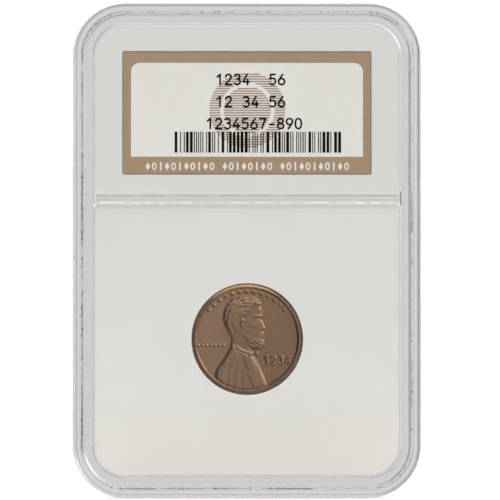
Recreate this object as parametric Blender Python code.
"""A sealed, clear two-shell holder for one graded coin, standing on its bottom edge.

The front face looks along -Y, +X is to the right of a person facing it, and the origin is the middle of the
bottom edge. The shells, the weld between them and the core are all lofted from rounded rectangles that share
their corner centres. A profile lists each rectangle's inset from the holder's outline and its depth along Y.
"""

from math import cos, pi, radians, sin

import bmesh
import bpy
from mathutils import Vector

MM = 0.001

# Driving dimensions, in millimetres. Depths are along Y: negative is towards the front.
WIDTH = 60.3
HEIGHT = 85.7
CORNER_RADIUS = 9.1
MIDDLE = HEIGHT / 2

FRONT_RIM = -4.3  # top of the raised rim around the front
FRONT_LEDGE = -3.6  # flat ledge inside that rim, and the top of the divider bar
FRONT_WINDOW = -3.2  # outer face of both front windows
REAR_BAND = 3.8  # outer band of the rear, which lands on the next holder's front rim
REAR_RIB = 4.3  # stacking rib, which drops inside the next holder's front rim
REAR_WINDOW = 3.3
SEAM = 0.6  # depth of the parting plane on the edge
SEAM_GAP = 0.2

RIM_WIDTH = 2.0
WINDOW_INSET = 3.4  # where the ledge breaks down to the window
RIB_INSET = 3.2  # outer foot of the stacking rib
REAR_WINDOW_INSET = 4.3
WINDOW_CHAMFER = 0.15
CAVITY_INSET = 3.5
DIVIDER_LOW = MIDDLE + 8.1
DIVIDER_HIGH = MIDDLE + 9.85
DIVIDER_CORNER = 0.8  # corner radius of a window where it meets the divider

CORE_THICKNESS = 3.0
CORE_GAP = 0.2  # between the core and each window's inner face
CORE_INSET = 3.8
CORE_EDGE_CHAMFER = 0.25

COIN_RADIUS = 9.525
COIN_THICKNESS = 1.52
COIN_HEIGHT = 27.5  # height of the coin's centre
COIN_RIM_WIDTH = 0.62
COIN_FIELD_DEPTH = 0.14
COIN_EDGE_BEVEL = 0.12
COIN_CLEARANCE = 0.2

LABEL_WIDTH = 42.96
LABEL_HEIGHT = 21.1
LABEL_THICKNESS = 0.25
LABEL_MIDDLE = MIDDLE + 23.9
LABEL_CLEARANCE = 0.2
LABEL_AIR = 0.1  # behind a label, and between the rear label and its seal
FRONT_POCKET = 0.45
REAR_POCKET = 0.65

SEAL_WIDTH = 19.0
SEAL_HEIGHT = 14.5
SEAL_THICKNESS = 0.12
SEAL_CORNER = 1.5

CORNER_STEPS = 8
COIN_STEPS = 72
EDGE_STEPS = 4
OVERCUT = 0.5  # how far a cutter stands out past the surface it cuts

CORE_FACE = CORE_THICKNESS / 2
CAVITY_FACE = CORE_FACE + CORE_GAP


def clear_scene():
    for item in list(bpy.data.objects):
        bpy.data.objects.remove(item, do_unlink=True)


def material(name, colour, roughness, metallic=0.0, transmission=0.0):
    made = bpy.data.materials.new(name)
    made.use_nodes = True
    shader = made.node_tree.nodes["Principled BSDF"]
    shader.inputs["Base Color"].default_value = (*colour, 1.0)
    shader.inputs["Roughness"].default_value = roughness
    shader.inputs["Metallic"].default_value = metallic
    shader.inputs["Transmission Weight"].default_value = transmission
    return made


def panel_loop(half_width, low, high, low_radius, high_radius, depth, steps=CORNER_STEPS):
    """An upright rounded rectangle at one depth, with its own radius at the lower and the upper corners."""
    corners = (
        (1, high - high_radius, high_radius),
        (-1, high - high_radius, high_radius),
        (-1, low + low_radius, low_radius),
        (1, low + low_radius, low_radius),
    )
    points = []
    for quarter, (side, centre_z, radius) in enumerate(corners):
        centre_x = side * (half_width - radius)
        for step in range(steps + 1):
            angle = (quarter + step / steps) * pi / 2
            point = (centre_x + radius * cos(angle), depth, centre_z + radius * sin(angle))
            points.append(Vector(point) * MM)
    return points


def outline_loop(inset, depth):
    """The holder's outline moved inward by inset. The corner centres stay where they are."""
    radius = CORNER_RADIUS - inset
    return panel_loop(WIDTH / 2 - inset, inset, HEIGHT - inset, radius, radius, depth)


def round_loop(radius, depth):
    """A circle round the coin's axis at one depth."""
    angles = [2 * pi * step / COIN_STEPS for step in range(COIN_STEPS)]
    return [Vector((radius * cos(a), depth, COIN_HEIGHT + radius * sin(a))) * MM for a in angles]


def quarter_round(inset, depth, radius, towards):
    """Profile points of an outer edge's rounding, from the face at this depth to the edge's wall."""
    angles = [step / EDGE_STEPS * pi / 2 for step in range(EDGE_STEPS + 1)]
    centre = depth - towards * radius
    return [(inset + radius * (1 - sin(a)), centre + towards * radius * cos(a)) for a in angles]


def body(name, loops, finish, endless=False):
    """One closed body through a row of loops: its ends are capped, or it joins up as a ring."""
    mesh = bmesh.new()
    rows = [[mesh.verts.new(point) for point in loop] for loop in loops]
    count = len(rows[0])
    following = rows[1:] + rows[:1] if endless else rows[1:]
    for row, after in zip(rows, following):
        for i in range(count):
            j = (i + 1) % count
            mesh.faces.new((row[i], row[j], after[j], after[i]))
    if not endless:
        mesh.faces.new(rows[0])
        mesh.faces.new(rows[-1])
    bmesh.ops.recalc_face_normals(mesh, faces=mesh.faces)
    data = bpy.data.meshes.new(name)
    mesh.to_mesh(data)
    mesh.free()
    data.shade_smooth()
    data.set_sharp_from_angle(angle=radians(30))
    if finish is not None:
        data.materials.append(finish)
    made = bpy.data.objects.new(name, data)
    bpy.context.collection.objects.link(made)
    return made


def cut(target, cutter):
    """Takes the cutter's shape out of the target, and leaves the cutter out of the model."""
    cutter.hide_render = True
    cutter.display_type = "WIRE"
    modifier = target.modifiers.new(cutter.name, "BOOLEAN")
    modifier.operation = "DIFFERENCE"
    modifier.solver = "EXACT"
    modifier.object = cutter


def window_cutter(name, margin, low, high, low_radius, high_radius, surface, floor):
    """A recess with sloping walls, from a raised surface down to a window's outer face."""
    outward = 1 if surface > floor else -1
    slope = WINDOW_CHAMFER / abs(surface - floor)
    stages = (-slope * OVERCUT, WINDOW_CHAMFER)
    depths = (surface + outward * OVERCUT, floor)
    loops = []
    for inset, depth in zip(stages, depths):
        half_width = WIDTH / 2 - margin - inset
        radii = (low_radius - inset, high_radius - inset)
        loops.append(panel_loop(half_width, low + inset, high - inset, *radii, depth))
    return body(name, loops, None)


def cut_windows(shell, margin, surface, floor):
    """The coin's window below the divider bar, and the label's window above it."""
    outer_radius = CORNER_RADIUS - margin
    bottom = margin
    top = HEIGHT - margin
    coin_side = (bottom, DIVIDER_LOW, outer_radius, DIVIDER_CORNER)
    label_side = (DIVIDER_HIGH, top, DIVIDER_CORNER, outer_radius)
    for side, (low, high, low_radius, high_radius) in (("coin", coin_side), ("label", label_side)):
        name = f"{shell.name}_{side}_window"
        cut(shell, window_cutter(name, margin, low, high, low_radius, high_radius, surface, floor))


def front_shell(finish):
    """The deeper shell: rim, ledge, windows, and the groove that the rear shell's tongue enters."""
    mating = SEAM - SEAM_GAP / 2
    groove_outer, groove_inner, groove_floor = 1.15, 2.05, -1.4
    profile = [
        (RIM_WIDTH + 0.15, FRONT_LEDGE),
        (RIM_WIDTH + 0.05, FRONT_RIM + 0.2),
        (RIM_WIDTH - 0.15, FRONT_RIM),
        *quarter_round(0.0, FRONT_RIM, 1.1, -1),
        (0.0, mating),
        (groove_outer, mating),
        (groove_outer, groove_floor),
        (groove_inner, groove_floor),
        (groove_inner, mating),
        (CAVITY_INSET, mating),
        (CAVITY_INSET, -CAVITY_FACE),
    ]
    shell = body("front_shell", [outline_loop(*point) for point in profile], finish)
    cut_windows(shell, WINDOW_INSET, FRONT_LEDGE, FRONT_WINDOW)


def rear_shell(finish):
    """The shallower shell: its tongue, outer band, stacking rib and windows."""
    mating = SEAM + SEAM_GAP / 2
    tongue_outer, tongue_inner, tongue_tip = 1.3, 1.9, -0.6
    profile = [
        (CAVITY_INSET, CAVITY_FACE),
        (CAVITY_INSET, mating),
        (tongue_inner, mating),
        (tongue_inner, tongue_tip),
        (tongue_outer, tongue_tip),
        (tongue_outer, mating),
        (0.0, mating),
        *reversed(quarter_round(0.0, REAR_BAND, 0.8, 1)),
        (RIB_INSET, REAR_BAND),
        (RIB_INSET + 0.15, REAR_RIB),
    ]
    shell = body("rear_shell", [outline_loop(*point) for point in profile], finish)
    cut_windows(shell, REAR_WINDOW_INSET, REAR_RIB, REAR_WINDOW)


def weld_bead(finish):
    """The ring of melted plastic between the tongue's tip and the groove's floor."""
    middle, half_width, low, high = 1.6, 0.28, -1.25, -0.75
    bulge = 0.08
    profile = [
        (middle - half_width + bulge, low),
        (middle + half_width - bulge, low),
        (middle + half_width, low + bulge),
        (middle + half_width, high - bulge),
        (middle + half_width - bulge, high),
        (middle - half_width + bulge, high),
        (middle - half_width, high - bulge),
        (middle - half_width, low + bulge),
    ]
    body("weld_bead", [outline_loop(*point) for point in profile], finish, endless=True)


def label_loop(margin, depth):
    """The label's outline, grown by a margin, at one depth."""
    low = LABEL_MIDDLE - LABEL_HEIGHT / 2 - margin
    high = LABEL_MIDDLE + LABEL_HEIGHT / 2 + margin
    radius = 0.2 + margin
    return panel_loop(LABEL_WIDTH / 2 + margin, low, high, radius, radius, depth, steps=2)


def core(finish):
    """The opaque insert: a hole for the coin, and a shallow pocket for a label on each face."""
    edge = CORE_FACE - CORE_EDGE_CHAMFER
    inner = CORE_INSET + CORE_EDGE_CHAMFER
    profile = ((inner, -CORE_FACE), (CORE_INSET, -edge), (CORE_INSET, edge), (inner, CORE_FACE))
    insert = body("core", [outline_loop(*point) for point in profile], finish)

    radius = COIN_RADIUS + COIN_CLEARANCE
    flare = 0.3
    wide = radius + flare + OVERCUT
    hole = [
        (wide, -CORE_FACE - OVERCUT),
        (radius, -CORE_FACE + flare),
        (radius, CORE_FACE - flare),
        (wide, CORE_FACE + OVERCUT),
    ]
    cut(insert, body("coin_hole", [round_loop(*point) for point in hole], None))

    for name, face, pocket in (("front_pocket", -1, FRONT_POCKET), ("rear_pocket", 1, REAR_POCKET)):
        depths = (face * (CORE_FACE + OVERCUT), face * (CORE_FACE - pocket))
        loops = [label_loop(LABEL_CLEARANCE, depth) for depth in depths]
        cut(insert, body(name, loops, None))


def coin(finish):
    """A struck disc: raised rims round two recessed fields, and bevelled edges."""
    half = COIN_THICKNESS / 2
    field_radius = COIN_RADIUS - COIN_RIM_WIDTH - 0.15
    face = [
        (field_radius, half - COIN_FIELD_DEPTH),
        (COIN_RADIUS - COIN_RIM_WIDTH, half),
        (COIN_RADIUS - COIN_EDGE_BEVEL, half),
        (COIN_RADIUS, half - COIN_EDGE_BEVEL),
    ]
    profile = [(radius, -depth) for radius, depth in face] + list(reversed(face))
    body("coin", [round_loop(*point) for point in profile], finish)


def labels(front_finish, rear_finish):
    """Both printed cards, each lying on the floor of its pocket with a little air behind it."""
    front_back = -CORE_FACE + FRONT_POCKET - LABEL_AIR
    front_face = front_back - LABEL_THICKNESS
    body("front_label", [label_loop(0.0, depth) for depth in (front_face, front_back)], front_finish)
    rear_back = CORE_FACE - REAR_POCKET + LABEL_AIR
    rear_face = rear_back + LABEL_THICKNESS
    body("rear_label", [label_loop(0.0, depth) for depth in (rear_back, rear_face)], rear_finish)
    return rear_face


def seal(label_face, finish):
    """The foil patch on the rear label."""
    low = LABEL_MIDDLE - SEAL_HEIGHT / 2
    high = LABEL_MIDDLE + SEAL_HEIGHT / 2
    back = label_face + LABEL_AIR
    shape = (SEAL_WIDTH / 2, low, high, SEAL_CORNER, SEAL_CORNER)
    body("hologram_seal", [panel_loop(*shape, depth) for depth in (back, back + SEAL_THICKNESS)], finish)


def build():
    clear_scene()
    front_shell(material("clear_front", (0.93, 0.94, 0.95), 0.04, transmission=1.0))
    rear_shell(material("clear_rear", (0.93, 0.94, 0.95), 0.04, transmission=1.0))
    weld_bead(material("weld_clear", (0.62, 0.61, 0.62), 0.3, transmission=0.6))
    core(material("core_white", (0.68, 0.69, 0.66), 0.55))
    coin(material("coin_bronze", (0.33, 0.17, 0.10), 0.25, metallic=1.0))
    card = ((0.74, 0.70, 0.64), 0.8)
    rear_face = labels(material("label_front_card", *card), material("label_rear_card", *card))
    seal(rear_face, material("seal_foil", (0.8, 0.78, 0.72), 0.25, metallic=1.0))


build()
